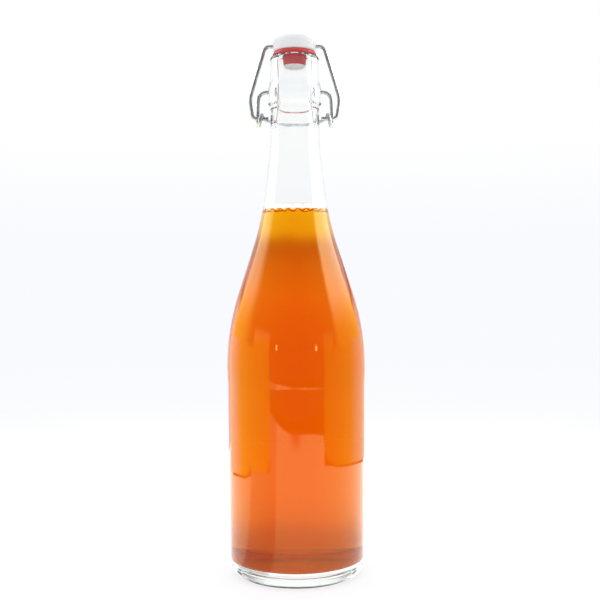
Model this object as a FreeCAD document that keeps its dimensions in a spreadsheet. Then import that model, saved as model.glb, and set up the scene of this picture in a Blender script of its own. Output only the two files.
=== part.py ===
import FreeCAD, Part
import math
import os

import Sketcher
from FreeCAD import Placement, Rotation, Vector

# Swing top bottle: a glass bottle of drink, closed by a white stopper with a rubber gasket, which
# a wire bail holds down and a wire lever, hung in two dimples of the glass, pulls tight.
# Millimetres. The base centre is the origin, +Z goes up the axis, and the lever's handle is at +Y.

DIMENSIONS = {
    # Glass, outside
    "body_radius": 40.2,
    "heel_radius": 8.0,
    "ring_inner_radius": 29.4,
    "ring_edge": 0.8,
    "punt_radius": 21.0,
    "punt_rise": 3.2,
    "punt_crown": 4.2,
    "punt_round": 14.0,
    "panel_top": 112.0,
    "shoulder_corner_radius": 43.3,
    "shoulder_corner_height": 138.0,
    "shoulder_round": 112.0,
    "throat_corner_radius": 20.2,
    "throat_corner_height": 207.7,
    "neck_corner_height": 253.2,
    "neck_round": 150.0,
    "neck_radius": 14.5,
    "collar_radius": 15.75,
    "collar_bottom": 276.0,
    "collar_top": 289.2,
    "collar_slope": 1.3,
    "collar_round": 0.9,
    "finish_radius": 14.6,
    "lip_height": 305.4,
    "lip_outer_round": 2.2,
    "lip_inner_round": 1.6,
    # Glass, inside
    "wall": 3.2,
    "floor_height": 6.4,
    "floor_crown": 8.6,
    "floor_round": 10.0,
    "bore_radius": 9.5,
    "bore_bottom": 279.0,
    "bore_flare": 14.0,
    "bore_round": 9.0,
    # Drink
    "fill_height": 216.7,
    "drink_gap": 0.05,
    # Wires
    "wire_radius": 1.1,
    "wire_running_gap": 0.08,
    "pivot_height": 284.5,
    "eye_pin_height": 268.6,
    "cross_height": 311.6,
    "overcentre": 1.2,
    # Dimples that the lever hangs in
    "dimple_floor": 12.9,
    "dimple_throat": 14.2,
    "dimple_mouth": 17.0,
    "dimple_mouth_radius": 4.2,
    # Lever
    "lever_pin_tip": 13.2,
    "lever_elbow": 21.4,
    "lever_elbow_round": 5.0,
    "eye_outer": 22.4,
    "eye_inner": 19.4,
    "eye_round": 3.3,
    "handle_round": 16.7,
    "handle_dip": 11.0,
    # Bail
    "bail_pin_tip": 15.6,
    "bail_foot": 24.9,
    "bail_foot_round": 3.0,
    "bail_knee": 26.7,
    "bail_knee_height": 11.5,
    "bail_knee_round": 15.0,
    "bail_head": 17.4,
    "bail_head_round": 3.6,
    # Stopper
    "stopper_radius": 12.6,
    "stopper_top": 319.0,
    "stopper_edge": 317.4,
    "stopper_edge_round": 4.6,
    "stopper_foot_round": 0.5,
    "stem_radius": 4.6,
    "button_radius": 6.2,
    "button_height": 2.1,
    "button_round": 1.9,
    # Gasket
    "gasket_radius": 13.0,
    "gasket_thickness": 2.6,
    "gasket_lip_gap": 0.15,
    "gasket_edge_round": 0.8,
    "gasket_shoulder_radius": 8.1,
    "gasket_plug_radius": 7.0,
    "gasket_plug_end_radius": 6.6,
    "gasket_plug_drop": 1.6,
    "gasket_plug_depth": 4.7,
}

doc = FreeCAD.newDocument("SwingTopBottle")
sheet = doc.addObject("Spreadsheet::Sheet", "Dims")
for row, (alias, number) in enumerate(DIMENSIONS.items(), start=1):
    sheet.set(f"A{row}", alias)
    sheet.set(f"B{row}", str(number))
    sheet.setAlias(f"B{row}", alias)
doc.recompute()

# Sketcher's numbers for a curve's ends and centre, and for the origin and the two axes of a sketch
START, END, CENTRE = 1, 2, 3
ORIGIN, LEVEL_AXIS, UPRIGHT_AXIS = -1, -1, -2

X = Vector(1, 0, 0)

# How finely the lever's path is measured for the gap between its turns
GAP_POINTS = 400


def size(alias):
    """The number in one cell of the sheet."""
    return float(sheet.get(alias))


def new_body(label):
    body = doc.addObject("PartDesign::Body", label)
    body.Label = label
    return body


def origin_plane(body, role):
    return next(f for f in body.Origin.OriginFeatures if f.Role == role)


def new_sketch(body, name, plane):
    sketch = body.newObject("Sketcher::SketchObject", name)
    sketch.AttachmentSupport = (origin_plane(body, plane), [""])
    sketch.MapMode = "FlatFace"
    return sketch


def number(sketch, expression):
    """What an expression comes to."""
    return float(sketch.evalExpression(expression))


def bind(sketch, constraint, name, expression):
    """Adds a dimension to a sketch and ties it to the sheet."""
    index = sketch.addConstraint(constraint)
    sketch.renameConstraint(index, name)
    sketch.setExpression("Constraints." + name, expression)


def pin_point(sketch, point, x, z, label):
    """Fixes a sketch point (curve, end) by two expressions; "0" puts it on the axis itself."""
    for axis, kind, expression in ((UPRIGHT_AXIS, "DistanceX", x), (LEVEL_AXIS, "DistanceY", z)):
        if expression == "0":
            sketch.addConstraint(Sketcher.Constraint("PointOnObject", *point, axis))
        else:
            distance = Sketcher.Constraint(kind, ORIGIN, START, *point, number(sketch, expression))
            bind(sketch, distance, f"{label}_{kind[-1]}", expression)


class Corner:
    """A corner of an outline: expressions for its place, and for its radius if it is rounded."""

    def __init__(self, x, z, rounding=None):
        self.x, self.z, self.rounding = x, z, rounding

    def measure(self, sketch):
        self.place = Vector(number(sketch, self.x), number(sketch, self.z), 0)
        self.radius = number(sketch, self.rounding) if self.rounding else 0.0
        self.arrive = self.leave = self.place

    def round_off(self, before, after):
        """Finds where the arc starts and ends, its centre, and whether it turns left."""
        back = (before - self.place).normalize()
        ahead = (after - self.place).normalize()
        half_angle = back.getAngle(ahead) / 2
        trim = self.radius / math.tan(half_angle)
        self.arrive = self.place + back * trim
        self.leave = self.place + ahead * trim
        self.centre = self.place + (back + ahead).normalize() * (self.radius / math.sin(half_angle))
        self.left = back.cross(ahead).z < 0

    def arc(self):
        """The arc, which a sketch always draws anticlockwise."""
        ends = (self.arrive, self.leave) if self.left else (self.leave, self.arrive)
        angles = [math.atan2(*(end - self.centre)[1::-1]) for end in ends]
        return Part.ArcOfCircle(Part.Circle(self.centre, Vector(0, 0, 1), self.radius), *angles)


def draw_rounded(sketch, corner, before, after, label):
    """Puts a tangent arc between two sides, whose lines still meet at the corner."""
    arc = sketch.addGeometry(corner.arc(), False)
    vertex = sketch.addGeometry(Part.Point(corner.place), True)
    near, far = (START, END) if corner.left else (END, START)
    sketch.addConstraint(
        [
            Sketcher.Constraint("Tangent", before, END, arc, near),
            Sketcher.Constraint("Tangent", arc, far, after, START),
            Sketcher.Constraint("PointOnObject", vertex, START, before),
            Sketcher.Constraint("PointOnObject", vertex, START, after),
        ]
    )
    pin_point(sketch, (vertex, START), corner.x, corner.z, label)
    bind(sketch, Sketcher.Constraint("Radius", arc, corner.radius), label + "_round", corner.rounding)


def draw_outline(sketch, corners, closed=True):
    """Straight sides from corner to corner, with tangent arcs at the rounded ones."""
    count = len(corners)
    for corner in corners:
        corner.measure(sketch)
    for i, corner in enumerate(corners):
        if corner.rounding:
            corner.round_off(corners[i - 1].place, corners[(i + 1) % count].place)
    sides = []
    for i in range(count if closed else count - 1):
        side = Part.LineSegment(corners[i].leave, corners[(i + 1) % count].arrive)
        sides.append(sketch.addGeometry(side, False))
    for i, corner in enumerate(corners):
        label = f"corner{i}"
        if not closed and i == count - 1:
            pin_point(sketch, (sides[-1], END), corner.x, corner.z, label)
        elif corner.rounding:
            draw_rounded(sketch, corner, sides[i - 1], sides[i], label)
        else:
            pin_point(sketch, (sides[i], START), corner.x, corner.z, label)
            if closed or i > 0:
                joined = Sketcher.Constraint("Coincident", sides[i - 1], END, sides[i], START)
                sketch.addConstraint(joined)


def draw_circle(sketch, centre_height, radius):
    """A circle on the sketch's upright axis."""
    centre = Vector(0, number(sketch, centre_height), 0)
    drawn = Part.Circle(centre, Vector(0, 0, 1), number(sketch, radius))
    circle = sketch.addGeometry(drawn, False)
    pin_point(sketch, (circle, CENTRE), "0", centre_height, "centre")
    bind(sketch, Sketcher.Constraint("Radius", circle, drawn.Radius), "radius", radius)


def revolved(label, corners):
    """A body turned about the bottle's axis from one closed outline."""
    body = new_body(label)
    outline = new_sketch(body, label + "_outline", "XZ_Plane")
    draw_outline(outline, corners)
    turned = body.newObject("PartDesign::Revolution", label + "_turned")
    turned.Profile = outline
    turned.ReferenceAxis = (outline, ["V_Axis"])
    turned.Angle = 360
    doc.recompute()
    return body


def mirror_left(body, feature, name):
    """Repeats a feature of the right side on the left side."""
    mirrored = body.newObject("PartDesign::Mirrored", name)
    mirrored.Originals = [feature]
    mirrored.MirrorPlane = (origin_plane(body, "YZ_Plane"), [""])
    body.Tip = mirrored
    doc.recompute()


def outside_corners():
    """The outer face of the glass, from the middle of the base up to the lip."""
    return [
        Corner("0", "Dims.punt_crown"),
        Corner("Dims.punt_radius", "Dims.punt_rise", "Dims.punt_round"),
        Corner("Dims.ring_inner_radius", "0", "Dims.ring_edge"),
        Corner("Dims.body_radius", "0", "Dims.heel_radius"),
        Corner("Dims.body_radius", "Dims.panel_top"),
        Corner("Dims.shoulder_corner_radius", "Dims.shoulder_corner_height", "Dims.shoulder_round"),
        Corner("Dims.throat_corner_radius", "Dims.throat_corner_height", "Dims.neck_round"),
        Corner("Dims.neck_radius", "Dims.neck_corner_height", "Dims.neck_round"),
        Corner("Dims.neck_radius", "Dims.collar_bottom", "Dims.collar_round"),
        Corner("Dims.collar_radius", "Dims.collar_bottom + Dims.collar_slope", "Dims.collar_round"),
        Corner("Dims.collar_radius", "Dims.collar_top - Dims.collar_slope", "Dims.collar_round"),
        Corner("Dims.finish_radius", "Dims.collar_top", "Dims.collar_round"),
        Corner("Dims.finish_radius", "Dims.lip_height", "Dims.lip_outer_round"),
    ]


NECK_INSIDE = "Dims.neck_radius - Dims.wall"
FLARE_BOTTOM = "Dims.bore_bottom - Dims.bore_flare"


def bore_corners():
    """The mouth, from the inner edge of the lip down to where the bore has widened to the neck."""
    return [
        Corner("Dims.bore_radius", "Dims.lip_height", "Dims.lip_inner_round"),
        Corner("Dims.bore_radius", "Dims.bore_bottom", "Dims.bore_round"),
        Corner(NECK_INSIDE, FLARE_BOTTOM, "Dims.bore_round"),
    ]


def cavity_corners(gap="0"):
    """The inner face of the glass from the neck down to the middle of the floor, or a gap inside it."""
    inset = f" - Dims.wall - {gap}"
    return [
        Corner("Dims.neck_radius" + inset, "Dims.neck_corner_height", "Dims.neck_round"),
        Corner("Dims.throat_corner_radius" + inset, "Dims.throat_corner_height", "Dims.neck_round"),
        Corner("Dims.shoulder_corner_radius" + inset, "Dims.shoulder_corner_height", "Dims.shoulder_round"),
        Corner("Dims.body_radius" + inset, "Dims.panel_top"),
        Corner("Dims.body_radius" + inset, f"Dims.floor_height + {gap}", "Dims.floor_round"),
        Corner("0", f"Dims.floor_crown + {gap}"),
    ]


def make_bottle():
    """The glass wall is one outline: up the outside, over the lip and down the inside."""
    body = revolved("bottle", outside_corners() + bore_corners() + cavity_corners())
    hole = "Dims.pivot_height + Dims.wire_radius + Dims.wire_running_gap"
    outline = new_sketch(body, "dimple_outline", "XZ_Plane")
    draw_outline(
        outline,
        [
            Corner("Dims.dimple_floor", "Dims.pivot_height"),
            Corner("Dims.dimple_mouth", "Dims.pivot_height"),
            Corner("Dims.dimple_mouth", "Dims.pivot_height + Dims.dimple_mouth_radius"),
            Corner("Dims.dimple_throat", hole),
            Corner("Dims.dimple_floor", hole),
        ],
    )
    undimpled = body.Shape.Volume
    dimple = body.newObject("PartDesign::Groove", "dimple")
    dimple.Profile = outline
    dimple.ReferenceAxis = (outline, ["Edge1"])
    dimple.Angle = 360
    doc.recompute()
    mirror_left(body, dimple, "dimples")
    print("glass taken by the two dimples, mm3:", round(undimpled - body.Shape.Volume, 1))
    return body


def make_drink():
    """The drink fills the cavity up to the fill line."""
    gap = "Dims.drink_gap"
    cavity_top = [Corner("0", FLARE_BOTTOM), Corner(f"{NECK_INSIDE} - {gap}", FLARE_BOTTOM)]
    cavity = revolved("cavity", cavity_top + cavity_corners(gap))
    below_line = doc.addObject("Part::Cylinder", "below_line")
    below_line.setExpression("Radius", "Dims.body_radius")
    below_line.setExpression("Height", "Dims.fill_height")
    drink = doc.addObject("Part::Common", "drink")
    drink.Base = cavity
    drink.Tool = below_line
    doc.recompute()
    print("drink, ml:", round(drink.Shape.Volume / 1000, 1))
    return drink


GASKET_BOTTOM = "Dims.lip_height + Dims.gasket_lip_gap"
GASKET_TOP = GASKET_BOTTOM + " + Dims.gasket_thickness"
PLUG_END = GASKET_BOTTOM + " - Dims.gasket_plug_depth"


def make_stopper():
    """A domed cap on a stem that ends in a button, with a cross hole for the bail."""
    tip = PLUG_END + " - Dims.button_height"
    body = revolved(
        "stopper",
        [
            Corner("0", tip),
            Corner("Dims.button_radius", tip, "Dims.button_round"),
            Corner("Dims.button_radius", PLUG_END),
            Corner("Dims.stem_radius", PLUG_END),
            Corner("Dims.stem_radius", GASKET_TOP),
            Corner("Dims.stopper_radius", GASKET_TOP, "Dims.stopper_foot_round"),
            Corner("Dims.stopper_radius", "Dims.stopper_edge", "Dims.stopper_edge_round"),
            Corner("0", "Dims.stopper_top"),
        ],
    )
    undrilled = body.Shape.Volume
    hole = new_sketch(body, "cross_hole_outline", "YZ_Plane")
    draw_circle(hole, "Dims.cross_height", "Dims.wire_radius + Dims.wire_running_gap")
    drilled = body.newObject("PartDesign::Pocket", "cross_hole")
    drilled.Profile = hole
    drilled.Type = "ThroughAll"
    drilled.SideType = "Symmetric"
    doc.recompute()
    print("stopper taken by the cross hole, mm3:", round(undrilled - body.Shape.Volume, 1))
    return body


def make_gasket():
    """A washer that covers the lip, with a tapered plug that hangs in the mouth."""
    return revolved(
        "gasket",
        [
            Corner("Dims.stem_radius", PLUG_END),
            Corner("Dims.gasket_plug_end_radius", PLUG_END),
            Corner("Dims.gasket_plug_radius", GASKET_BOTTOM + " - Dims.gasket_plug_drop"),
            Corner("Dims.gasket_shoulder_radius", GASKET_BOTTOM),
            Corner("Dims.gasket_radius", GASKET_BOTTOM, "Dims.gasket_edge_round"),
            Corner("Dims.gasket_radius", GASKET_TOP, "Dims.gasket_edge_round"),
            Corner("Dims.stem_radius", GASKET_TOP),
        ],
    )


def make_bail():
    """The upper wire: two pins that hook the lever's eyes, two bowed legs and a cross wire."""
    body = new_body("bail_wire")
    reach = "sqrt((Dims.cross_height - Dims.eye_pin_height)^2 + Dims.overcentre^2)"
    path = new_sketch(body, "bail_path", "XZ_Plane")
    draw_outline(
        path,
        [
            Corner("Dims.bail_pin_tip", "0"),
            Corner("Dims.bail_foot", "0", "Dims.bail_foot_round"),
            Corner("Dims.bail_knee", "Dims.bail_knee_height", "Dims.bail_knee_round"),
            Corner("Dims.bail_head", reach, "Dims.bail_head_round"),
            Corner("0", reach),
        ],
        closed=False,
    )
    section = new_sketch(body, "bail_section", "YZ_Plane")
    section.setExpression("AttachmentOffset.Base.z", "Dims.bail_pin_tip")
    draw_circle(section, "0", "Dims.wire_radius")
    half = body.newObject("PartDesign::AdditivePipe", "bail_half")
    half.Profile = section
    half.Spine = path
    doc.recompute()
    mirror_left(body, half, "bail_halves")
    lean = math.atan2(size("overcentre"), size("cross_height") - size("eye_pin_height"))
    foot = Vector(0, -size("overcentre"), size("eye_pin_height"))
    body.Placement = Placement(foot, Rotation(X, -math.degrees(lean)))
    return body


def arc_middle(start, direction, end):
    """The middle of the arc that leaves start along a direction and ends at end."""
    chord = end - start
    along = Vector(chord).normalize()
    aside = (direction - along * direction.dot(along)).normalize()
    bulge = chord.Length / 2 * math.tan(direction.getAngle(along) / 2)
    return (start + end) * 0.5 + aside * bulge


def biarc(start, start_direction, end, end_direction):
    """Two arcs, as lists of three points, that join two places and directions smoothly."""
    chord = end - start
    spread = 2 * (1 - start_direction.dot(end_direction))
    along = chord.dot(start_direction + end_direction)
    reach = (math.sqrt(along**2 + spread * chord.dot(chord)) - along) / spread
    meet = (start + end + (start_direction - end_direction) * reach) * 0.5
    return [
        [start, arc_middle(start, start_direction, meet), meet],
        [meet, arc_middle(end, end_direction * -1, meet), end],
    ]


def eye_stops(elbow):
    """Where the lever's right eye is a quarter turn on each time, and which way the wire runs there."""
    radius = size("eye_round")
    play = radius - 2 * size("wire_radius") - size("wire_running_gap")
    centre = Vector(0, -size("overcentre"), size("eye_pin_height") - play)
    to_centre = Vector(0, centre.y - elbow.y, centre.z - elbow.z)
    arm_turn = math.degrees(math.asin(radius / to_centre.Length))
    arm = Rotation(X, arm_turn).multVec(to_centre).normalize()
    first_angle = math.degrees(math.atan2(arm.y, -arm.z))
    last_angle = -270 - size("handle_dip")
    slide = (size("eye_inner") - size("eye_outer")) / math.radians(first_angle - last_angle) / radius
    stops = []
    for angle in (first_angle, -90, -180, last_angle):
        turned = (first_angle - angle) / (first_angle - last_angle)
        across = size("eye_outer") + turned * (size("eye_inner") - size("eye_outer"))
        c, s = math.cos(math.radians(angle)), math.sin(math.radians(angle))
        place = Vector(across, centre.y + radius * c, centre.z + radius * s)
        stops.append((place, Vector(slide, s, -c).normalize()))
    first_place = stops[0][0]
    last_place, last_way = stops[-1]
    stops[0] = (first_place, (first_place - elbow).normalize())
    stops[-1] = (last_place, Vector(0, last_way.y, last_way.z).normalize())
    return stops


def lever_half():
    """The right half of the lever's path, from the pin's tip to the handle's bar, as runs and arcs."""
    tip = Vector(size("lever_pin_tip"), 0, size("pivot_height"))
    elbow = Vector(size("lever_elbow"), 0, size("pivot_height"))
    stops = eye_stops(elbow)
    arm_end, arm = stops[0]
    trim = size("lever_elbow_round") * math.tan(X.getAngle(arm) / 2)
    bend_start, bend_end = elbow - X * trim, elbow + arm * trim
    path = [
        [tip, bend_start],
        [bend_start, arc_middle(bend_start, X, bend_end), bend_end],
        [bend_end, arm_end],
    ]
    for (place, way), (next_place, next_way) in zip(stops, stops[1:]):
        path += biarc(place, way, next_place, next_way)
    handle_start, back = stops[-1]
    bar_end = handle_start + (back - X) * size("handle_round")
    path.append([handle_start, arc_middle(handle_start, back, bar_end), bar_end])
    return path


def edge(points):
    curve = Part.LineSegment(*points) if len(points) == 2 else Part.Arc(*points)
    return curve.toShape()


def least_gap(path):
    """The least gap between turns of a wire, measured on points more than half an eye's turn apart."""
    wire = Part.Wire([edge(points) for points in path])
    points = wire.discretize(Number=GAP_POINTS)
    step = wire.Length / (len(points) - 1)
    apart = math.ceil(math.pi * size("eye_round") / step)
    pairs = ((a, b) for i, a in enumerate(points) for b in points[i + apart :])
    return min(a.distanceToPoint(b) for a, b in pairs) - 2 * size("wire_radius")


def to_left(point):
    return Vector(-point.x, point.y, point.z)


def make_lever():
    """The lower wire: two pivot pins, two arms, two eyes and a handle round the back of the neck."""
    right = lever_half()
    left = [[to_left(point) for point in reversed(points)] for points in reversed(right)]
    bar = [right[-1][-1], left[0][0]]
    path = Part.Wire([edge(points) for points in right + [bar] + left])
    section = Part.Wire(Part.Circle(right[0][0], X, size("wire_radius")).toShape())
    lever = doc.addObject("Part::Feature", "lever_wire")
    lever.Shape = path.makePipeShell([section], True, False)
    lever.Placement = Placement()
    plain = math.pi * size("wire_radius") ** 2 * path.Length
    print("lever volume over section times length:", round(lever.Shape.Volume / plain, 4))
    print("least gap of the eye's turn to itself, mm:", round(least_gap(right), 2))
    return lever


pieces = [make_bottle(), make_drink(), make_stopper(), make_gasket(), make_bail(), make_lever()]
doc.recompute()

failed = [thing.Name for thing in doc.Objects if {"Invalid", "Error"} & set(thing.State)]
unsound = [piece.Label for piece in pieces if piece.Shape.isNull() or not piece.Shape.isValid()]
if failed or unsound:
    raise RuntimeError(f"failed objects: {failed}, unsound shapes: {unsound}")

os.makedirs("parts", exist_ok=True)
for piece in pieces:
    piece.Shape.exportStep(f"parts/{piece.Label}.step")
    print(piece.Label, len(piece.Shape.Solids), "solid,", round(piece.Shape.Volume / 1000, 2), "cm3")
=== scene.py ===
import math
import random

import bpy
from mathutils import Matrix, Vector


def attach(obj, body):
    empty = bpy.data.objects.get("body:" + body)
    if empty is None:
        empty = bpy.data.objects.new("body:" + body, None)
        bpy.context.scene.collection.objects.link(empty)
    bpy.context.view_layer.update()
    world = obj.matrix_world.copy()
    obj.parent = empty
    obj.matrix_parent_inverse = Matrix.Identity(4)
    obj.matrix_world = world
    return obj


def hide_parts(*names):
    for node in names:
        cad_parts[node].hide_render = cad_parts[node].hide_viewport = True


# Swing top bottle of orange drink: glass, drink, stopper, gasket and two wires, dressed over the frame.
# The base centre is the origin, +Z goes up the bottle's axis, and the lever's handle is at +Y.
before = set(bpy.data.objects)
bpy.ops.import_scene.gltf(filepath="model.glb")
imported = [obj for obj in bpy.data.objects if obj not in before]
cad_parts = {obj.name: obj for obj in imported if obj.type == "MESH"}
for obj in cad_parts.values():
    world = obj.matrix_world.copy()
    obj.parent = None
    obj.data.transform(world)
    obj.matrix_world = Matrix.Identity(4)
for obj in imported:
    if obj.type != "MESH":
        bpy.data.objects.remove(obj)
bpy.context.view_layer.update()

# The pieces' sizes are in millimetres, and the studio's in metres
MM = 0.001
WELD = 0.001 * MM
SMOOTH_ANGLE = math.radians(35)

# Spacing of an outline's points, along straights and round arcs
POINT_SPACING = 4.0
ARC_STEP = math.radians(7)

# Glass: radii and heights that the outside, the bore and the cavity share
WALL = 3.2
HEEL_RADIUS = 39.9
BODY_RADIUS, BODY_TOP = 40.5, 112.0
SHOULDER_RADIUS, SHOULDER_HEIGHT = 42.33, 139.7
THROAT_RADIUS, THROAT_HEIGHT = 20.2, 207.7
NECK_RADIUS, NECK_FOOT = 14.5, 253.2
COLLAR_RADIUS = 15.75
FINISH_RADIUS, MOUTH_RADIUS, LIP_TOP = 14.6, 9.5, 305.4

# Outlines are lists of corners: radius, height and rounding
OUTSIDE = [
    (0, 4.2, 0),
    (21.0, 3.2, 14.0),
    (29.4, 0, 0.8),
    (HEEL_RADIUS, 0, 8.0),
    (BODY_RADIUS, BODY_TOP, 1.0),
    (SHOULDER_RADIUS, SHOULDER_HEIGHT, 140.0),
    (THROAT_RADIUS, THROAT_HEIGHT, 150.0),
    (NECK_RADIUS, NECK_FOOT, 150.0),
    (NECK_RADIUS, 276.0, 0.9),
    (COLLAR_RADIUS, 277.3, 0.9),
    (COLLAR_RADIUS, 286.4, 7.0),
    (FINISH_RADIUS, 290.6, 7.0),
    (FINISH_RADIUS, LIP_TOP, 2.0),
]
BORE = [
    (MOUTH_RADIUS, LIP_TOP, 3.0),
    (MOUTH_RADIUS, 279.0, 9.0),
    (NECK_RADIUS - WALL, 265.0, 9.0),
]
CAVITY = [
    (NECK_RADIUS - WALL, NECK_FOOT, 150.0),
    (THROAT_RADIUS - WALL, THROAT_HEIGHT, 150.0),
    (SHOULDER_RADIUS - WALL, SHOULDER_HEIGHT, 127.0),
    (BODY_RADIUS - WALL, BODY_TOP, 12.0),
    (HEEL_RADIUS - WALL, 3.8, 9.5),
    (0, 8.4, 0),
]

# Knurling on the bearing ring: two spokes of the turned mesh make one ridge
RIDGES = 152
SPOKES = 2 * RIDGES
KNURL_INNER, KNURL_OUTER, KNURL_TOP, KNURL_DEPTH = 30.6, 36.3, 1.5, 0.7

# Dimples for the lever's pins: a round hole with a flared mouth
CLOSURE_PIVOT = 284.5
DIMPLE_FLOOR, DIMPLE_THROAT, DIMPLE_MOUTH = 12.9, 14.2, 17.0
DIMPLE_HOLE_RADIUS, DIMPLE_MOUTH_RADIUS = 1.18, 4.2
HOLE_STEPS = 48

# Drink: its level, how far it climbs the wall, and the rounding and film of its rim
LEVEL = 213.9
MENISCUS = 3.9
RIM_ROUNDING = 0.8
RIM_FILM = 0.15

# The drink's mesh reaches into the glass of the wall, and stays clear of the floor below BASE_GLASS
DRINK_OVERLAP = 0.12
FLOOR_GAP = 0.05
BASE_GLASS = 9.0

# Bubbles round the rim of the drink
BUBBLES = 19
BUBBLE_RADII = (1.65, 2.05)
BUBBLE_FILM = 0.15
BUBBLE_SHIFT = 0.03
BUBBLE_RISE = 0.6
BUBBLE_SEED = 7

# Stopper and gasket: the gasket sits on the stem, between the end button and the cap
STEM_RADIUS = 4.6
BUTTON_RADIUS, BUTTON_FOOT, BUTTON_TOP = 6.2, 298.3, 299.7
CAP_RADIUS, CAP_FOOT = 12.6, 308.15
GASKET_RADIUS, GASKET_FOOT = 13.0, 305.55
STOPPER = [
    (0, BUTTON_FOOT, 0),
    (BUTTON_RADIUS, BUTTON_FOOT, 1.3),
    (BUTTON_RADIUS, BUTTON_TOP, 0),
    (STEM_RADIUS, BUTTON_TOP, 0),
    (STEM_RADIUS, CAP_FOOT, 0),
    (CAP_RADIUS, CAP_FOOT, 1.2),
    (CAP_RADIUS, 317.4, 4.6),
    (0, 319.0, 0),
]
GASKET = [
    (STEM_RADIUS, BUTTON_TOP, 0),
    (6.5, BUTTON_TOP, 0.3),
    (7.0, 303.95, 0.3),
    (8.1, GASKET_FOOT, 0.5),
    (GASKET_RADIUS, GASKET_FOOT, 0.4),
    (GASKET_RADIUS, CAP_FOOT, 2.0),
    (STEM_RADIUS, CAP_FOOT, 0),
    (STEM_RADIUS, BUTTON_TOP, 0),
]
STOPPER_STEPS = 128
CROSS_HEIGHT = 311.6
CROSS_HOLE_RADIUS, CROSS_DRILL_LENGTH = 1.18, 40.0


def fillet(before, corner, after, radius):
    """Points along the arc that rounds a corner."""
    back = (before - corner).normalized()
    ahead = (after - corner).normalized()
    half_angle = back.angle(ahead) / 2
    trim = radius / math.tan(half_angle)
    centre = corner + (back + ahead).normalized() * (radius / math.sin(half_angle))
    first = corner + back * trim - centre
    last = corner + ahead * trim - centre
    turn = -first.angle_signed(last)
    count = math.ceil(max(abs(turn) / ARC_STEP, abs(turn) * radius / POINT_SPACING, 2))
    return [centre + Matrix.Rotation(turn * i / count, 2) @ first for i in range(count + 1)]


def outline_points(corners):
    """Points along straight sides and rounded corners, evenly spaced on the straights."""
    places = [Vector(corner[:2]) for corner in corners]
    points = [places[0]]
    for i in range(1, len(corners)):
        rounding = corners[i][2]
        if rounding and i < len(corners) - 1:
            bend = fillet(places[i - 1], places[i], places[i + 1], rounding)
        else:
            bend = [places[i]]
        start = points[-1]
        run = bend[0] - start
        steps = math.ceil(run.length / POINT_SPACING)
        points += [start + run * (step / steps) for step in range(1, steps)]
        points += bend
    return points


def select_only(piece):
    bpy.ops.object.select_all(action="DESELECT")
    piece.select_set(True)
    bpy.context.view_layer.objects.active = piece


def named(name):
    """Names the piece that has just been made."""
    piece = bpy.context.object
    piece.name = piece.data.name = name
    return piece


def turned(name, points, steps):
    """A piece turned about the bottle's axis: one point is extruded along the outline, then swept round."""
    bpy.ops.object.select_all(action="DESELECT")
    bpy.ops.mesh.primitive_plane_add(size=MM)
    piece = named(name)
    bpy.ops.object.mode_set(mode="EDIT")
    bpy.ops.mesh.select_all(action="SELECT")
    bpy.ops.mesh.merge(type="CENTER")
    bpy.ops.transform.translate(value=(points[0].x * MM, 0, points[0].y * MM))
    for here, there in zip(points, points[1:]):
        step = (there - here) * MM
        bpy.ops.mesh.extrude_region_move(TRANSFORM_OT_translate={"value": (step.x, 0, step.y)})
    bpy.ops.object.mode_set(mode="OBJECT")
    bpy.ops.object.modifier_add(type="SCREW")
    screw = piece.modifiers[-1]
    screw.steps = screw.render_steps = steps
    screw.use_merge_vertices = True
    screw.merge_threshold = WELD
    bpy.ops.object.modifier_apply(modifier=screw.name)
    bpy.ops.object.mode_set(mode="EDIT")
    bpy.ops.mesh.select_all(action="SELECT")
    bpy.ops.mesh.remove_doubles(threshold=WELD)
    bpy.ops.mesh.normals_make_consistent(inside=False)
    bpy.ops.object.mode_set(mode="OBJECT")
    return piece


def smooth(piece):
    select_only(piece)
    bpy.ops.object.shade_smooth_by_angle(angle=SMOOTH_ANGLE)


def cut(piece, cutter):
    """Takes the cutter's shape out of the piece."""
    select_only(piece)
    bpy.ops.object.modifier_add(type="BOOLEAN")
    boolean = piece.modifiers[-1]
    boolean.operation = "DIFFERENCE"
    boolean.solver = "EXACT"
    boolean.object = cutter
    bpy.ops.object.modifier_apply(modifier=boolean.name)
    bpy.data.objects.remove(cutter)


def move_vertices(piece, chosen, offset):
    """Moves the vertices that a test picks."""
    select_only(piece)
    bpy.ops.object.mode_set(mode="EDIT")
    bpy.ops.mesh.select_all(action="DESELECT")
    bpy.ops.object.mode_set(mode="OBJECT")
    for vertex in piece.data.vertices:
        vertex.select = chosen(vertex.co)
    bpy.ops.object.mode_set(mode="EDIT")
    bpy.ops.transform.translate(value=offset)
    bpy.ops.object.mode_set(mode="OBJECT")


# Glass


def in_knurl_groove(place):
    radius = math.hypot(place.x, place.y) / MM
    spoke = round(math.atan2(place.y, place.x) / math.tau * SPOKES)
    return place.z < KNURL_TOP * MM and KNURL_INNER < radius < KNURL_OUTER and spoke % 2 == 1


def dimple_cutter(side):
    """A plug of the dimple's shape, pointing in along X."""
    points = [
        Vector((0, DIMPLE_FLOOR)),
        Vector((DIMPLE_HOLE_RADIUS, DIMPLE_FLOOR)),
        Vector((DIMPLE_HOLE_RADIUS, DIMPLE_THROAT)),
        Vector((DIMPLE_MOUTH_RADIUS, DIMPLE_MOUTH)),
        Vector((0, DIMPLE_MOUTH)),
    ]
    plug = turned("dimple_plug", points, HOLE_STEPS)
    plug.rotation_euler.y = side * math.pi / 2
    plug.location.z = CLOSURE_PIVOT * MM
    return plug


def make_bottle():
    bottle = turned("glass_bottle", outline_points(OUTSIDE + BORE + CAVITY), SPOKES)
    move_vertices(bottle, in_knurl_groove, (0, 0, KNURL_DEPTH * MM))
    for side in (1, -1):
        cut(bottle, dimple_cutter(side))
    smooth(bottle)
    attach(bottle, "bottle")
    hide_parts("bottle")
    return bottle


# Drink


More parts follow.
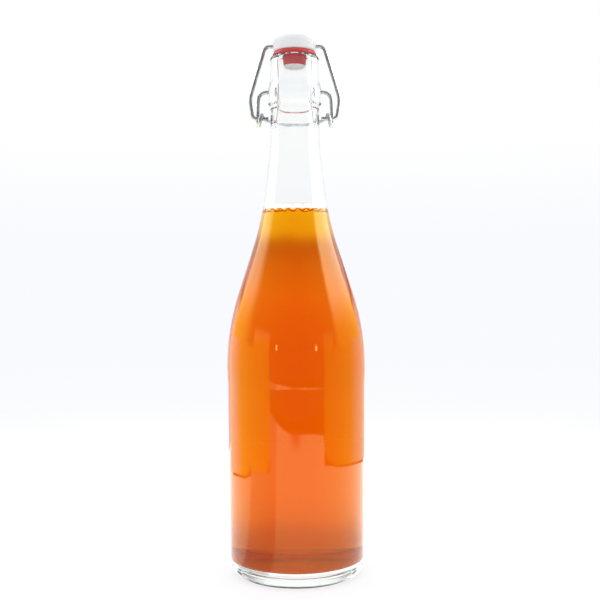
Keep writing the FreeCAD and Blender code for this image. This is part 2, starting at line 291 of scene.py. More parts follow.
def wall_radius(points, height):
    """The radius of an outline that runs down, at a height."""
    for above, below in zip(points, points[1:]):
        if above.y >= height >= below.y:
            return below.x + (above.x - below.x) * (height - below.y) / (above.y - below.y)


def rim_bubbles(wall):
    """Bubbles side by side round the rim of the drink, as one cutter."""
    chance = random.Random(BUBBLE_SEED)
    bubbles = []
    for i in range(BUBBLES):
        radius = chance.uniform(*BUBBLE_RADII)
        azimuth = math.tau * (i + chance.uniform(-BUBBLE_SHIFT, BUBBLE_SHIFT)) / BUBBLES
        reach = wall - radius - BUBBLE_FILM
        height = LEVEL + chance.uniform(0.0, BUBBLE_RISE)
        place = Vector((reach * math.cos(azimuth), reach * math.sin(azimuth), height)) * MM
        bpy.ops.mesh.primitive_uv_sphere_add(segments=24, ring_count=14, radius=radius * MM, location=place)
        bubbles.append(bpy.context.object)
    for bubble in bubbles:
        bubble.select_set(True)
    bpy.ops.object.join()
    return named("rim_bubbles")


def wall_offset(point):
    """How far the drink's mesh is moved off the wall: into the glass, or clear of it on the floor."""
    if point.y < BASE_GLASS:
        return Vector((-FLOOR_GAP if point.x else 0, FLOOR_GAP))
    return Vector((DRINK_OVERLAP, 0))


def make_drink():
    cavity = outline_points([BORE[-1]] + CAVITY)
    contact = LEVEL + MENISCUS
    wetted = [Vector((wall_radius(cavity, contact), contact))]
    wetted += [point for point in cavity if point.y < contact]
    pushed = [point + wall_offset(point) for point in wetted]
    edge = pushed[0]
    climb = wall_radius(cavity, LEVEL + RIM_ROUNDING) - RIM_FILM
    surface = outline_points([(0, LEVEL, 0), (climb, LEVEL, RIM_ROUNDING), (edge.x, edge.y, 0)])
    drink = turned("orange_drink", surface + pushed[1:], SPOKES)
    cut(drink, rim_bubbles(wall_radius(cavity, LEVEL)))
    smooth(drink)
    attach(drink, "bottle")
    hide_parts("drink")
    return drink


# Stopper and gasket


def make_stopper():
    stopper = turned("white_stopper", outline_points(STOPPER), STOPPER_STEPS)
    bpy.ops.mesh.primitive_cylinder_add(
        vertices=HOLE_STEPS, radius=CROSS_HOLE_RADIUS * MM, depth=CROSS_DRILL_LENGTH * MM
    )
    drill = named("cross_drill")
    drill.rotation_euler.y = math.pi / 2
    drill.location.z = CROSS_HEIGHT * MM
    cut(stopper, drill)
    smooth(stopper)
    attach(stopper, "stopper")
    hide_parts("stopper")
    return stopper


def make_gasket():
    gasket = turned("red_gasket", outline_points(GASKET), STOPPER_STEPS)
    smooth(gasket)
    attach(gasket, "stopper")
    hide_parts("gasket")
    return gasket


# Wires


def make_wire(node, body):
    """A smooth copy of a wire, with its seams closed."""
    select_only(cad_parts[node])
    bpy.ops.object.duplicate()
    wire = named("steel_" + node)
    wire.data.materials.clear()
    bpy.ops.object.mode_set(mode="EDIT")
    bpy.ops.mesh.select_all(action="SELECT")
    bpy.ops.mesh.remove_doubles(threshold=WELD)
    bpy.ops.object.mode_set(mode="OBJECT")
    smooth(wire)
    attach(wire, body)
    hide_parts(node)
    return wire


# Finishes

WHITE, BLACK = (1, 1, 1, 1), (0, 0, 0, 1)

# Glass: the knurled ring that is painted dark as contact shade, the tops of the wetted wall and of the heel,
# the slow waves, and the number of bounces after which a painted glow stands in for trapped light
SHADE_RING_INNER, SHADE_RING_TOP, SHADE_RING_CLEAR = 29.3, 2.0, 0.45
WET_TOP = LEVEL + MENISCUS / 2
HEEL_TOP = 12.0
WAVE_STRENGTH, WAVE_DEPTH = 0.15, 1.0
TRAPPED_BOUNCES = 6.5

# Drink: the height that its colours are spread over, how far its streaks shift them, its sediment, and the
# corner of the floor where a red glow is painted
FILL_HEIGHT = 216.7
STREAK_SHIFT = 0.03
SEDIMENT_FOOT, SEDIMENT_TOP, SEDIMENT_ROUGHNESS = 6.0, 15.0, 0.4
CORNER_INNER, CORNER_OUTER = 22.0, 31.0
CORNER_FOOT, CORNER_TOP = 5.8, 8.4

# Strength of the grain on plastic, rubber and steel
GRAIN_STRENGTH = 0.3


def new_material(name):
    material = bpy.data.materials.new(name)
    material.use_nodes = True
    tree = material.node_tree
    return material, tree, tree.nodes["Principled BSDF"]


def set_values(node, **values):
    for key, value in values.items():
        node.inputs[key.replace("_", " ")].default_value = value


def feed(tree, socket, value):
    """Links a socket to another one, or sets its value."""
    if isinstance(value, bpy.types.NodeSocket):
        tree.links.new(value, socket)
    else:
        socket.default_value = value


def add_operation(tree, kind, operation, values):
    node = tree.nodes.new(kind)
    node.operation = operation
    for socket, value in zip(node.inputs, values):
        feed(tree, socket, value)
    return node.outputs


def add_math(tree, operation, *values):
    return add_operation(tree, "ShaderNodeMath", operation, values)["Value"]


def add_vector_math(tree, operation, *values):
    return add_operation(tree, "ShaderNodeVectorMath", operation, values)


def add_mix(tree, share, first, second):
    """A colour between two, by a share."""
    mix = tree.nodes.new("ShaderNodeMix")
    mix.data_type = "RGBA"
    for socket, value in zip((mix.inputs[0], mix.inputs[6], mix.inputs[7]), (share, first, second)):
        feed(tree, socket, value)
    return mix.outputs[2]


def add_range(tree, value, low, high, start=0.0, end=1.0):
    """A value that goes smoothly from start to end while another goes from low to high."""
    node = tree.nodes.new("ShaderNodeMapRange")
    node.interpolation_type = "SMOOTHSTEP"
    set_values(node, From_Min=low, From_Max=high)
    feed(tree, node.inputs["Value"], value)
    feed(tree, node.inputs["To Min"], start)
    feed(tree, node.inputs["To Max"], end)
    return node.outputs["Result"]


def add_band(tree, value, rise, fall):
    """1 between two soft edges, of which each is a pair of values, and 0 outside them."""
    return add_math(tree, "SUBTRACT", add_range(tree, value, *rise), add_range(tree, value, *fall))


def add_axes(tree):
    """The place on the object, and its three coordinates."""
    place = tree.nodes.new("ShaderNodeTexCoord").outputs["Object"]
    axes = tree.nodes.new("ShaderNodeSeparateXYZ")
    tree.links.new(place, axes.inputs["Vector"])
    return place, axes.outputs


def from_axis(tree, place):
    """The level vector from the bottle's axis to a place."""
    return add_vector_math(tree, "MULTIPLY", place, (1, 1, 0))["Vector"]


def length_of(tree, vector):
    return add_vector_math(tree, "LENGTH", vector)["Value"]


def is_below(tree, axes, height):
    return add_math(tree, "LESS_THAN", axes["Z"], height * MM)


def add_noise(tree, place, scale, detail):
    noise = tree.nodes.new("ShaderNodeTexNoise")
    set_values(noise, Detail=detail)
    feed(tree, noise.inputs["Vector"], place)
    feed(tree, noise.inputs["Scale"], scale)
    return noise.outputs["Fac"]


def add_group(tree, group, **values):
    """Places a group, with a value or a link for each of its inputs."""
    node = tree.nodes.new("ShaderNodeGroup")
    node.node_tree = group
    for key, value in values.items():
        feed(tree, node.inputs[key.replace("_", " ")], value)
    return node.outputs


def add_bump(tree, shader, height, strength, distance):
    bump = tree.nodes.new("ShaderNodeBump")
    set_values(bump, Strength=strength, Distance=distance)
    tree.links.new(height, bump.inputs["Height"])
    tree.links.new(bump.outputs["Normal"], shader.inputs["Normal"])


def new_group(name, inputs, outputs):
    group = bpy.data.node_groups.new(name, "ShaderNodeTree")
    for direction, sockets in (("INPUT", inputs), ("OUTPUT", outputs)):
        for socket, kind in sockets.items():
            group.interface.new_socket(socket, in_out=direction, socket_type=kind)
    return group, group.nodes.new("NodeGroupInput").outputs, group.nodes.new("NodeGroupOutput").inputs


def handled_surface_group():
    """Two tones in soft patches, duller where the surface has been handled, with a fine grain."""
    group, given, out = new_group(
        "handled_surface",
        {
            "Patch Scale": "NodeSocketFloat",
            "Grain Scale": "NodeSocketFloat",
            "First Tone": "NodeSocketColor",
            "Second Tone": "NodeSocketColor",
            "Clean Roughness": "NodeSocketFloat",
            "Handled Roughness": "NodeSocketFloat",
        },
        {"Colour": "NodeSocketColor", "Roughness": "NodeSocketFloat", "Grain": "NodeSocketFloat"},
    )
    place = add_axes(group)[0]
    patches = add_range(group, add_noise(group, place, given["Patch Scale"], detail=3.0), 0.3, 0.7)
    grain = add_noise(group, place, given["Grain Scale"], detail=4.0)
    handled = add_math(group, "MULTIPLY_ADD", grain, 0.4, add_math(group, "MULTIPLY", patches, 0.6))
    group.links.new(add_mix(group, patches, given["First Tone"], given["Second Tone"]), out["Colour"])
    dull = add_range(group, handled, 0.2, 0.8, given["Clean Roughness"], given["Handled Roughness"])
    group.links.new(dull, out["Roughness"])
    group.links.new(grain, out["Grain"])
    return group


def waves_group():
    """Slow waves, longest along the axis with the smallest scale."""
    group, given, out = new_group("waves", {"Scale": "NodeSocketVector"}, {"Height": "NodeSocketFloat"})
    place = add_axes(group)[0]
    stretched = add_vector_math(group, "MULTIPLY", place, given["Scale"])["Vector"]
    group.links.new(add_noise(group, stretched, scale=1.0, detail=1.0), out["Height"])
    return group


def height_colour_group():
    """The drink's colour by height: darker towards the floor, and a band of painted shade under the neck."""
    group, given, out = new_group("height_colour", {"Streaks": "NodeSocketFloat"}, {"Colour": "NodeSocketColor"})
    height = add_axes(group)[1]["Z"]
    drift = add_math(group, "MULTIPLY_ADD", given["Streaks"], STREAK_SHIFT, -STREAK_SHIFT / 2)
    ramp = group.nodes.new("ShaderNodeValToRGB")
    ramp.color_ramp.interpolation = "B_SPLINE"
    stops = (
        (6, (0.52, 0.29, 0.33)),
        (13, (0.47, 0.25, 0.36)),
        (20, (0.54, 0.38, 0.48)),
        (27, (0.77, 0.68, 0.68)),
        (45, (0.96, 0.94, 1)),
        (160, (0.98, 0.92, 1)),
        # Painted shade: a darker band under the neck
        (182, (0.74, 0.44, 0.5)),
        (193, (0.62, 0.36, 0.36)),
        (199, (1, 1, 1)),
        (206, (1, 1, 1)),
        (213, (1, 1, 1)),
    )
    elements = ramp.color_ramp.elements
    for _ in range(len(stops) - len(elements)):
        elements.new(0.5)
    for element, (level, colour) in zip(elements, stops):
        element.position = level / FILL_HEIGHT
        element.color = (*colour, 1)
    share = add_math(group, "DIVIDE", height, FILL_HEIGHT * MM)
    group.links.new(add_math(group, "ADD", share, drift), ramp.inputs["Fac"])
    group.links.new(ramp.outputs["Color"], out["Colour"])
    return group


def contact_shade_ring(tree, place, axes):
    """1 on the knurled ring that the bottle stands on, which is painted dark as contact shade."""
    outer = add_math(tree, "GREATER_THAN", length_of(tree, from_axis(tree, place)), SHADE_RING_INNER * MM)
    return add_math(tree, "MULTIPLY", outer, is_below(tree, axes, SHADE_RING_TOP))


def wetted_reflection(tree, place, axes, ring):
    """Full reflection on dry glass, a painted warm tint in front of the drink, hardly any where the drink
    wets it, and a dull brownish one on the ring that is painted dark as contact shade."""
    surface = tree.nodes.new("ShaderNodeNewGeometry").outputs
    facing = add_vector_math(tree, "DOT_PRODUCT", from_axis(tree, place), surface["Normal"])["Value"]
    side = add_math(tree, "SUBTRACT", 0.5, surface["Backfacing"])
    inside = add_math(tree, "LESS_THAN", add_math(tree, "MULTIPLY", facing, side), 0.0)
    above_punt = add_math(tree, "GREATER_THAN", axes["Z"], BASE_GLASS * MM)
    beside_drink = add_math(tree, "MULTIPLY", is_below(tree, axes, WET_TOP), above_punt)
    # Painted reflection: a warm tint on the glass's reflections in front of the drink
    warm = add_mix(tree, beside_drink, WHITE, (1, 0.95, 0.4, 1))
    reflection = add_mix(tree, add_math(tree, "MULTIPLY", inside, beside_drink), warm, BLACK)
    return add_mix(tree, ring, reflection, (0.4, 0.33, 0.3, 1))


def trapped_light(tree, axes):
    """A painted glow in place of light that has gone to and fro in the glass past the bounce limit: pale
    above the drink, orange beside it and greenish in the heel."""
    depth = tree.nodes.new("ShaderNodeLightPath").outputs["Ray Depth"]
    late = add_math(tree, "GREATER_THAN", depth, TRAPPED_BOUNCES)
    pale, orange, greenish = (0.5, 0.5, 0.5, 1), (0.25, 0.135, 0.025, 1), (0.7, 0.78, 0.74, 1)
    wall = add_mix(tree, is_below(tree, axes, WET_TOP), pale, orange)
    zones = add_mix(tree, is_below(tree, axes, HEEL_TOP), wall, greenish)
    return add_mix(tree, late, BLACK, zones)


def add_tint(tree, colour, density):
    """Colour that grows with the depth of the piece."""
    tint = tree.nodes.new("ShaderNodeVolumeAbsorption")
    set_values(tint, Color=(*colour, 1), Density=density)
    tree.links.new(tint.outputs["Volume"], tree.nodes["Material Output"].inputs["Volume"])


def clear_glass(waves):
    """Glass with a slight green tint and slow waves, which hardly reflects where the drink wets it."""
    material, tree, shader = new_material("bottle_glass")
    set_values(shader, Roughness=0.0, IOR=1.52, Transmission_Weight=1.0, Emission_Strength=0.6)
    place, axes = add_axes(tree)
    ring = contact_shade_ring(tree, place, axes)
    # Painted contact shade: the knurled ring is darkened and made partly see-through
    ring_shade = add_mix(tree, ring, WHITE, (0.22, 0.17, 0.15, 1))
    tree.links.new(ring_shade, shader.inputs["Base Color"])
    ring_see_through = add_math(tree, "MULTIPLY_ADD", ring, -SHADE_RING_CLEAR, 1.0)
    tree.links.new(ring_see_through, shader.inputs["Alpha"])
    tree.links.new(wetted_reflection(tree, place, axes, ring), shader.inputs["Specular Tint"])
    # Painted glow: after many bounces the glass gives off the colour of the trapped light
    tree.links.new(trapped_light(tree, axes), shader.inputs["Emission Color"])
    height = add_group(tree, waves, Scale=(45, 45, 16))["Height"]
    add_bump(tree, shader, height, WAVE_STRENGTH, WAVE_DEPTH * MM)
    add_tint(tree, (0.7, 0.95, 0.86), 6.0)
    return material


def painted_corner_glow(tree, place, axes):
    """A red glow painted in the rounded corner of the drink's floor."""
    far = length_of(tree, from_axis(tree, place))
    outer = add_range(tree, far, CORNER_INNER * MM, CORNER_OUTER * MM)
    lower = add_range(tree, axes["Z"], CORNER_FOOT * MM, CORNER_TOP * MM, 1.0, 0.0)
    return add_mix(tree, add_math(tree, "MULTIPLY", outer, lower), BLACK, (0.22, 0.04, 0.008, 1))


def orange_drink(waves):
    """Clear orange drink, its colour set by height with painted shade under the neck, with faint upright
    streaks and dull sediment on the floor, and a red glow painted in the corner of its floor.
    """
    material, tree, shader = new_material("cloudy_drink")
    set_values(shader, IOR=1.34, Transmission_Weight=1.0, Emission_Strength=1.0)
    place, axes = add_axes(tree)
    reflection = add_mix(tree, is_below(tree, axes, BASE_GLASS), (0.1, 0.1, 0.1, 1), (0.6, 0.5, 0.55, 1))
    tree.links.new(reflection, shader.inputs["Specular Tint"])
    streaks = add_group(tree, waves, Scale=(120, 120, 9))["Height"]
    height_colour = add_group(tree, height_colour_group(), Streaks=streaks)
    tree.links.new(height_colour["Colour"], shader.inputs["Base Color"])
    # Painted glow: red light in the corner of the drink's floor
    tree.links.new(painted_corner_glow(tree, place, axes), shader.inputs["Emission Color"])
    heights = (SEDIMENT_FOOT * MM, SEDIMENT_TOP * MM)
    sediment = add_range(tree, axes["Z"], *heights, SEDIMENT_ROUGHNESS, 0.0)
    tree.links.new(sediment, shader.inputs["Roughness"])
    add_tint(tree, (0.993, 0.868, 0.0), 220.0)
    return material


def handled_material(name, surface, grain_depth, values):
    """A solid finish with patches of handling and a fine grain."""
    material, tree, shader = new_material(name)
    finish = add_group(tree, surface, **values)
    tree.links.new(finish["Colour"], shader.inputs["Base Color"])
    tree.links.new(finish["Roughness"], shader.inputs["Roughness"])
    add_bump(tree, shader, finish["Grain"], GRAIN_STRENGTH, grain_depth * MM)
    return material, shader


def white_plastic(surface):
    values = {
        "Patch_Scale": 180.0,
        "Grain_Scale": 2500.0,
        "First_Tone": (0.93, 0.94, 0.955, 1),
        "Second_Tone": (0.89, 0.9, 0.91, 1),
        "Clean_Roughness": 0.5,
        "Handled_Roughness": 0.64,
    }
    material, shader = handled_material("stopper_plastic", surface, 0.02, values)
    set_values(shader, Specular_IOR_Level=0.25)
    return material


def red_rubber(surface):
    values = {
        "Patch_Scale": 260.0,
        "Grain_Scale": 4000.0,
        "First_Tone": (0.66, 0.035, 0.04, 1),
        "Second_Tone": (0.55, 0.03, 0.035, 1),
        "Clean_Roughness": 0.45,
        "Handled_Roughness": 0.62,
    }
    return handled_material("gasket_rubber", surface, 0.04, values)[0]


def steel_wire(surface):
    values = {
        "Patch_Scale": 220.0,
        "Grain_Scale": 3000.0,
        "First_Tone": (0.61, 0.63, 0.66, 1),
        "Second_Tone": (0.51, 0.53, 0.56, 1),
        "Clean_Roughness": 0.42,
        "Handled_Roughness": 0.56,
    }
    material, shader = handled_material("drawn_wire", surface, 0.01, values)
    set_values(shader, Metallic=1.0)
    return material


def dress(piece, material):
    piece.data.materials.clear()
    piece.data.materials.append(material)


# Studio, with azimuths from the camera's side to the right

# Boards: azimuth of the front end in degrees, radius round the bottle, and spread in radians over which the
# front end's lower corner is rounded, to the right or to the left
RIGHT_FRONT, RIGHT_RADIUS, RIGHT_SPREAD = 45, 0.39, 0.5
LEFT_FRONT, LEFT_RADIUS, LEFT_SPREAD = -78, 0.335, -0.3
BOARD_CORNER, BOARD_FADE, BOARD_TOP = 0.013, 0.20, 0.24
BOARD_YELLOW, BOARD_WHITE = (1, 0.97, 0.08, 1), (1, 1, 0.9, 1)
BOARD_WHITE_BACK, BOARD_WHITE_FOOT = (0.03, 0.15), 0.17

# Soft boxes over the boards, brightest from BOX_FULL up, and small lamps
BOX_FOOT, BOX_FULL, BOX_HEIGHT = 0.16, 0.44, 0.46
BOX_YELLOW, BOX_YELLOW_TOP, BOX_WHITE_FOOT = (1, 0.97, 0.1, 1), 0.18, 0.30
LAMP_DISTANCE, LAMP_SIZE, LAMP_COLOUR = 0.9, (0.03, 0.05), (1, 1, 0.9)

# Table: its gap to the boards, how much further it goes at each front end, half of the azimuth that
# each board takes up, the soft front edge, and the light
TABLE_GAP = 0.012
RIGHT_REACH, RIGHT_HALF = 0.13, 0.9
LEFT_REACH, LEFT_HALF = 0.1, 0.45
TABLE_FRONT = (0.55, 0.58)
TABLE_LIGHT = 2.1

# Shadows on the table: soft sides, as azimuths in radians, soft back of the camera's, and its depth
BOTTLE_SHADOW_LEFT = (math.radians(LEFT_FRONT) - 0.02, math.radians(LEFT_FRONT) + 0.02)
BOTTLE_SHADOW_RIGHT = (-0.57, -0.54)
CAMERA_SHADOW_LEFT, CAMERA_SHADOW_RIGHT = (-0.26, -0.02), (0.0, 0.18)
CAMERA_SHADOW_BACK = (0.44, 0.54)
CAMERA_SHADE = 1.6

# Floor: heights of its two sheets, its light, where it fades out, and the radius and soft edge,
# in millimetres, of the painted contact shadow, a dark ring where the glass stands
FLOOR_HEIGHT, TABLE_HEIGHT = -0.0003, -0.0002
FLOOR_LIGHT = 0.8
FLOOR_FADE = (0.2, 0.9)
CONTACT_SHADOW = 31.2
CONTACT_EDGE = (2.0, 2.8)

# Share of the backdrop's strength that lights dull surfaces
BACKDROP_LIGHT = 0.75

CAMERA_EYE, CAMERA_AIM = Vector((0, -0.565, 0.1673)), Vector((0.0025, 0, 0.1613))
CAMERA_LENS, CAMERA_SENSOR, CAMERA_ROLL = 57, 36, math.radians(-0.3)


def place_card(name, centre, size, rotation=(0, 0, 0)):
    """A flat rectangle in the studio."""
    bpy.ops.object.select_all(action="DESELECT")
    bpy.ops.mesh.primitive_plane_add(size=1, location=centre, rotation=rotation)
    card = named(name)
    card.scale = (*size, 1)
    bpy.ops.object.transform_apply(location=True, rotation=True, scale=True)
    return card


def reflected_only(card):
    """A card that is seen in reflections and nowhere else."""
    card.visible_camera = card.visible_diffuse = card.visible_transmission = False
    card.visible_shadow = card.visible_volume_scatter = False


def glow_material(name):
    material, tree, shader = new_material(name)
    tree.nodes.remove(shader)
    glow = tree.nodes.new("ShaderNodeEmission")
    tree.links.new(glow.outputs["Emission"], tree.nodes["Material Output"].inputs["Surface"])
    return material, tree, glow


def even_glow(name, colour, strength):
    material, _, glow = glow_material(name)
    set_values(glow, Color=(*colour, 1), Strength=strength)
    return material


def sloping_glow(name, low, high, foot, top):
    """A glow that changes from its strength at the foot to that at the top between two heights."""
    material, tree, glow = glow_material(name)
    axes = add_axes(tree)[1]
    return material, tree, glow, axes, add_range(tree, axes["Z"], low, high, foot, top)


def curved_wall(name, radius, low, high, first, last):
    """A sheet bent round the bottle between two azimuths, seen in reflections only."""
    bpy.ops.object.select_all(action="DESELECT")
    place = (0, 0, (low + high) / 2)
    bpy.ops.mesh.primitive_cylinder_add(
        vertices=240, radius=radius, depth=high - low, end_fill_type="NOTHING", location=place
    )
    wall = named(name)
    bpy.ops.object.transform_apply(location=True)
    bpy.ops.object.mode_set(mode="EDIT")
    bpy.ops.mesh.select_all(action="DESELECT")
    bpy.ops.mesh.select_mode(type="FACE")
    bpy.ops.object.mode_set(mode="OBJECT")
    for face in wall.data.polygons:
        azimuth = math.degrees(math.atan2(face.center.x, -face.center.y))
        face.select = not first < azimuth < last
    bpy.ops.object.mode_set(mode="EDIT")
    bpy.ops.mesh.delete(type="FACE")
    bpy.ops.mesh.select_mode(type="VERT")
    bpy.ops.object.mode_set(mode="OBJECT")
    reflected_only(wall)
    return wall


def add_azimuth(tree, axes):
    """The angle round the bottle from the camera's side to the right, in radians."""
    return add_math(tree, "ARCTAN2", axes["X"], add_math(tree, "MULTIPLY", axes["Y"], -1.0))


def rounded_end(tree, azimuth, front, spread):
    """1 at a board's front end, falling to 0 over a spread of azimuth, to the right or to the left."""
    along = add_math(tree, "MULTIPLY_ADD", azimuth, -1 / spread, 1 + math.radians(front) / spread)
    return add_math(tree, "POWER", add_math(tree, "MAXIMUM", along, 0.0), 3.0)


def side_board(name, radius, first, last, strength, spread):
    """A low bent board beside the table, yellow in front, white to the back and fading out to the top."""
    board = curved_wall(name, radius, 0.0, BOARD_TOP, first, last)
    material, tree, glow, axes, slope = sloping_glow(name, BOARD_FADE, BOARD_TOP, strength, 0.0)
    front = first if spread > 0 else last
    corner = rounded_end(tree, add_azimuth(tree, axes), front, spread)
    edge = add_math(tree, "MULTIPLY", corner, BOARD_CORNER)
    above_edge = add_math(tree, "GREATER_THAN", axes["Z"], edge)
    tree.links.new(add_math(tree, "MULTIPLY", slope, above_edge), glow.inputs["Strength"])
    behind = add_range(tree, axes["Y"], *BOARD_WHITE_BACK)
    above = add_range(tree, axes["Z"], BOARD_WHITE_FOOT, BOARD_TOP)
    white = add_math(tree, "MAXIMUM", behind, above)
    tree.links.new(add_mix(tree, white, BOARD_YELLOW, BOARD_WHITE), glow.inputs["Color"])
    dress(board, material)


def soft_box(name, x, front, back, edge, foot, top):
    """A soft box over a board, yellow below, whiter and brighter to the top, with a soft front edge."""
    centre = (x, (front + back) / 2, BOX_FOOT + BOX_HEIGHT / 2)
    box = place_card(name, centre, (BOX_HEIGHT, back - front), (0, math.pi / 2, 0))
    material, tree, glow, axes, slope = sloping_glow(name, BOX_FOOT, BOX_FULL, foot, top)
    white = add_range(tree, axes["Z"], BOX_YELLOW_TOP, BOX_WHITE_FOOT)
    tree.links.new(add_mix(tree, white, BOX_YELLOW, WHITE), glow.inputs["Color"])
    fade = add_range(tree, axes["Y"], front, front + edge)
    tree.links.new(add_math(tree, "MULTIPLY", slope, fade), glow.inputs["Strength"])
    dress(box, material)
    reflected_only(box)


def small_lamp(name, azimuth, height, strength):
    """A small lamp in front of the table, seen as a point of light on the shoulder."""
    turn = math.radians(azimuth)
    place = (LAMP_DISTANCE * math.sin(turn), -LAMP_DISTANCE * math.cos(turn), height)
    lamp = place_card(name, place, LAMP_SIZE, (math.pi / 2, 0, turn))
    dress(lamp, even_glow(name, LAMP_COLOUR, strength))
    reflected_only(lamp)


def past_board(tree, far, azimuth, front, radius, spread, reach, half):
    """1 beyond the table's edge along a board, which goes further out at the board's rounded front end."""
    rounding = rounded_end(tree, azimuth, front, spread)
    edge = add_math(tree, "MULTIPLY_ADD", rounding, reach, radius - TABLE_GAP)
    middle = math.radians(front) + math.copysign(half, spread)
    beside = add_math(tree, "COMPARE", azimuth, middle, half)
    return add_math(tree, "MULTIPLY", add_math(tree, "GREATER_THAN", far, edge), beside)


def table_glow():
    """The lit table top: it ends at the boards and before the camera, and bottle and camera shade it."""
    material, tree, glow = glow_material("table_glow")
    place, axes = add_axes(tree)
    far = length_of(tree, place)
    azimuth = add_azimuth(tree, axes)
    right = (RIGHT_FRONT, RIGHT_RADIUS, RIGHT_SPREAD, RIGHT_REACH, RIGHT_HALF)
    left = (LEFT_FRONT, LEFT_RADIUS, LEFT_SPREAD, LEFT_REACH, LEFT_HALF)
    past_right, past_left = (past_board(tree, far, azimuth, *board) for board in (right, left))
    across = add_math(tree, "MAXIMUM", axes["X"], 0.0)
    squares = add_math(tree, "MULTIPLY_ADD", across, across, add_math(tree, "POWER", axes["Y"], 2.0))
    ahead = add_math(tree, "SQRT", squares)
    past_front = add_range(tree, ahead, *TABLE_FRONT)
    past_edge = add_math(tree, "MAXIMUM", past_front, add_math(tree, "MAXIMUM", past_right, past_left))
    bottle_shadow = add_band(tree, azimuth, BOTTLE_SHADOW_LEFT, BOTTLE_SHADOW_RIGHT)
    wedge = add_band(tree, azimuth, CAMERA_SHADOW_LEFT, CAMERA_SHADOW_RIGHT)
    camera_shadow = add_math(tree, "MULTIPLY", wedge, add_range(tree, ahead, *CAMERA_SHADOW_BACK))
    lit = add_math(tree, "MULTIPLY_ADD", bottle_shadow, -1.0, TABLE_LIGHT)
    shaded = add_math(tree, "MULTIPLY_ADD", camera_shadow, -CAMERA_SHADE, lit)
    on_table = add_math(tree, "SUBTRACT", 1.0, past_edge)
    tree.links.new(add_math(tree, "MULTIPLY", shaded, on_table), glow.inputs["Strength"])
    return material


def make_floor():
    """A light table that fades into the white backdrop, with a painted contact shadow ring under the glass.
    """
    floor = place_card("floor", (0, 0.8, FLOOR_HEIGHT), (5, 5))
    material, tree, shader = new_material("floor")
    set_values(shader, Roughness=0.9, Specular_IOR_Level=0.0, Emission_Color=(1, 0.995, 1, 1))
    far = length_of(tree, add_axes(tree)[0])
    off_ring = add_math(tree, "ABSOLUTE", add_math(tree, "SUBTRACT", far, CONTACT_SHADOW * MM))
    clear = add_range(tree, off_ring, *(edge * MM for edge in CONTACT_EDGE))
    tree.links.new(add_math(tree, "MULTIPLY", clear, FLOOR_LIGHT), shader.inputs["Emission Strength"])
    tree.links.new(add_range(tree, far, *FLOOR_FADE, 1.0, 0.0), shader.inputs["Alpha"])
    # Painted contact shadow: a dark tone and no glow on the ring
    tone = add_mix(tree, clear, (0.02, 0.015, 0.015, 1), (0.25, 0.25, 0.26, 1))
    tree.links.new(tone, shader.inputs["Base Color"])
    dress(floor, material)
    floor.visible_glossy = False

    table = place_card("table_glow", (0, -0.125, TABLE_HEIGHT), (1.7, 1.05))
    dress(table, table_glow())
    reflected_only(table)


def make_world():
    """White backdrop, a shade darker round the horizon, that lights dull surfaces less than it shows."""
    world = bpy.data.worlds.new("studio")
    bpy.context.scene.world = world
    world.use_nodes = True
    tree = world.node_tree
    backdrop = tree.nodes["Background"]
    axes = tree.nodes.new("ShaderNodeSeparateXYZ")
    tree.links.new(tree.nodes.new("ShaderNodeTexCoord").outputs["Generated"], axes.inputs["Vector"])
    ramp = tree.nodes.new("ShaderNodeValToRGB")
    low, high = ramp.color_ramp.elements
    low.position, low.color = 0.40, WHITE
    high.position, high.color = 0.575, WHITE
    for position in (0.462, 0.53):
        ramp.color_ramp.elements.new(position).color = (0.947, 0.956, 0.991, 1)
    tree.links.new(add_math(tree, "MULTIPLY_ADD", axes.outputs["Z"], 0.5, 0.5), ramp.inputs["Fac"])
    tree.links.new(ramp.outputs["Color"], backdrop.inputs["Color"])
    path = tree.nodes.new("ShaderNodeLightPath").outputs
    mirrored = add_math(tree, "MAXIMUM", path["Is Glossy Ray"], path["Is Transmission Ray"])
    seen = add_math(tree, "MAXIMUM", path["Is Camera Ray"], mirrored)
    strength = add_math(tree, "MULTIPLY_ADD", seen, 1 - BACKDROP_LIGHT, BACKDROP_LIGHT)
    tree.links.new(strength, backdrop.inputs["Strength"])


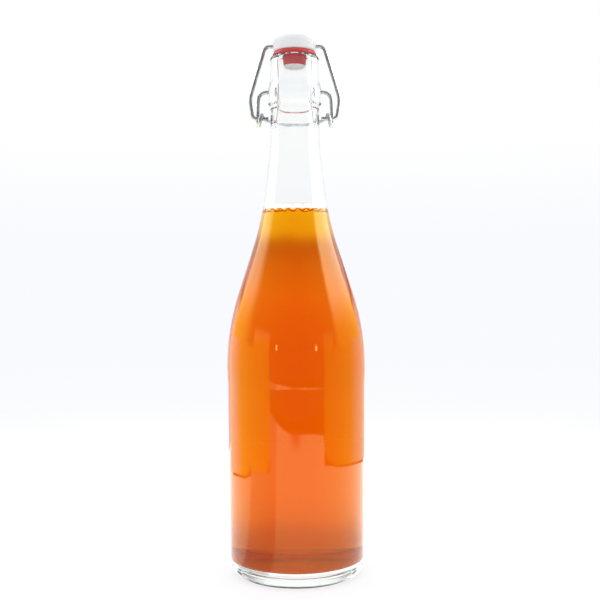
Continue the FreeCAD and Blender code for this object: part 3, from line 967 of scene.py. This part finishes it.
def make_lamp():
    data = bpy.data.lights.new("top_lamp", "AREA")
    data.size = 0.9
    data.energy = 5.0
    lamp = bpy.data.objects.new("top_lamp", data)
    lamp.location = (0, 0.15, 1.1)
    lamp.visible_camera = lamp.visible_glossy = lamp.visible_transmission = False
    bpy.context.scene.collection.objects.link(lamp)


def make_camera():
    data = bpy.data.cameras.new("camera")
    camera = bpy.data.objects.new("camera", data)
    bpy.context.scene.collection.objects.link(camera)
    bpy.context.scene.camera = camera
    data.sensor_width = CAMERA_SENSOR
    data.lens = CAMERA_LENS
    camera.location = CAMERA_EYE
    look = (CAMERA_AIM - CAMERA_EYE).to_track_quat("-Z", "Y")
    roll = Matrix.Rotation(CAMERA_ROLL, 3, "Z").to_quaternion()
    camera.rotation_mode = "QUATERNION"
    camera.rotation_quaternion = look @ roll


glass, drink = make_bottle(), make_drink()
stopper, gasket = make_stopper(), make_gasket()
bail, lever = make_wire("bail_wire", "bail"), make_wire("lever_wire", "lever")

waves, surface = waves_group(), handled_surface_group()
dress(glass, clear_glass(waves))
dress(drink, orange_drink(waves))
dress(stopper, white_plastic(surface))
dress(gasket, red_rubber(surface))
steel = steel_wire(surface)
dress(bail, steel)
dress(lever, steel)

make_world()
make_floor()
make_lamp()
side_board("right_board", RIGHT_RADIUS, first=RIGHT_FRONT, last=165, strength=1.0, spread=RIGHT_SPREAD)
side_board("left_board", LEFT_RADIUS, first=-140, last=LEFT_FRONT, strength=1.5, spread=LEFT_SPREAD)
side_board("left_front_board", 0.36, first=LEFT_FRONT, last=-42, strength=1.5, spread=-0.15)
soft_box("right_soft_box", x=0.295, front=-0.16, back=0.23, edge=0.07, foot=1.2, top=6.5)
soft_box("left_soft_box", x=-0.27, front=-0.09, back=0.20, edge=0.12, foot=1.6, top=4.4)
small_lamp("left_lamp", azimuth=-32, height=0.243, strength=12.0)
small_lamp("right_lamp", azimuth=33, height=0.235, strength=20.0)
dark_room = curved_wall("dark_room", radius=0.95, low=-1.0, high=1.4, first=-95, last=95)
dress(dark_room, even_glow("dark_room", (1, 1, 1), strength=0.08))
make_camera()
bpy.context.scene.view_settings.view_transform = "Standard"
